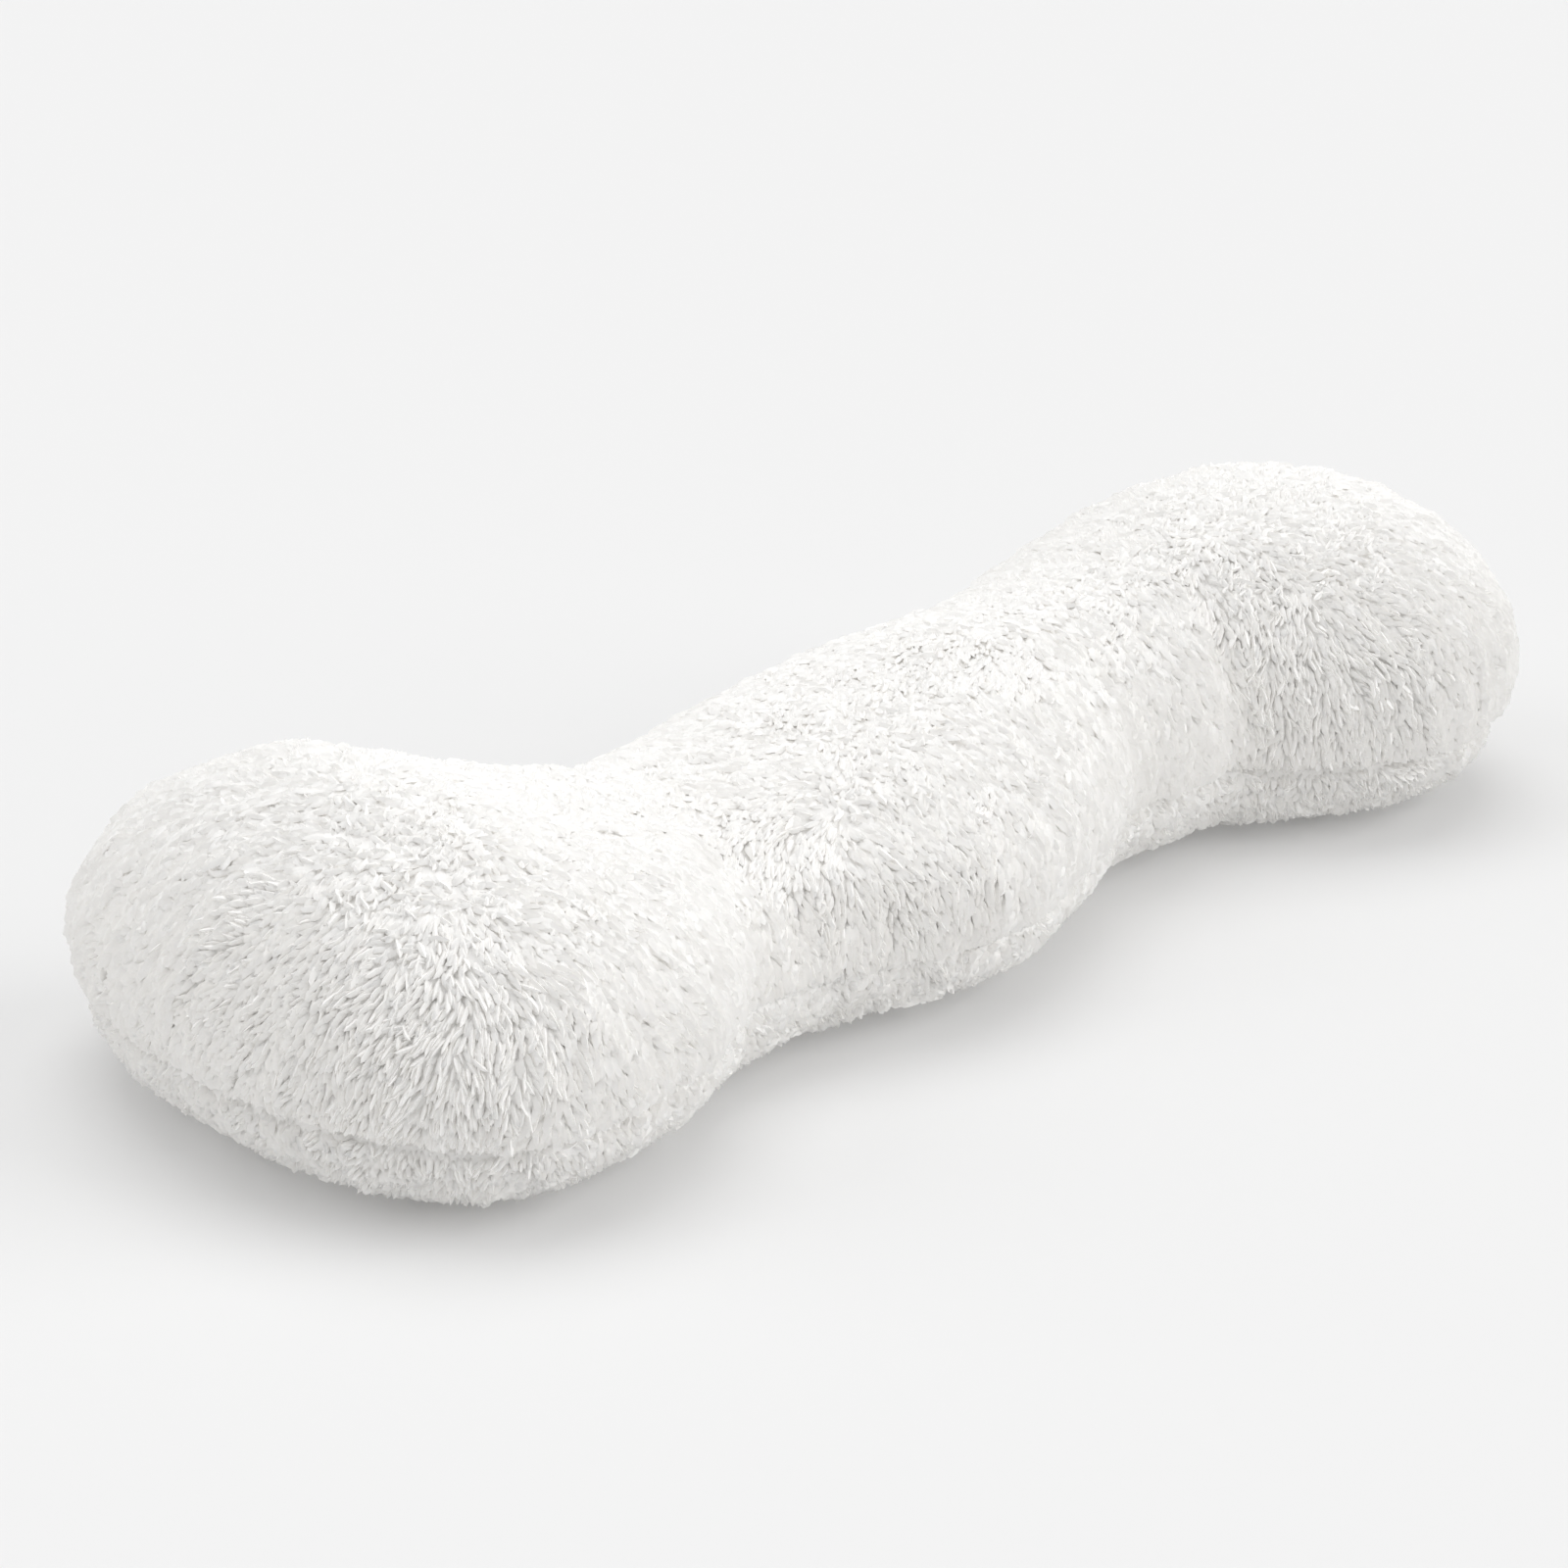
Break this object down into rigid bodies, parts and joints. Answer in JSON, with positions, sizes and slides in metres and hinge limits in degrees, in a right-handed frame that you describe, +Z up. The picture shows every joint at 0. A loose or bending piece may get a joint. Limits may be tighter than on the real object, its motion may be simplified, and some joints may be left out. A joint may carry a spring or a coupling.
{
  "type": "body pillow",
  "caption": "Long white plush body pillow with two broad end lobes, a smaller middle swell and two waists, sewn from an upper and a lower panel and lying flat.",
  "frame": {"origin": "on the floor, under the middle of the pillow's box", "axes": "+X along the pillow, towards the narrower far lobe; +Y across it, towards the back edge; +Z up, from the flat underside to the crown"},
  "size_m": [1.2, 0.484, 0.243],
  "materials": {
    "plush": "matt long-pile plush"
  },
  "bodies": {
    "root": {"body_pillow": "plush"}
  },
  "joints": []
}
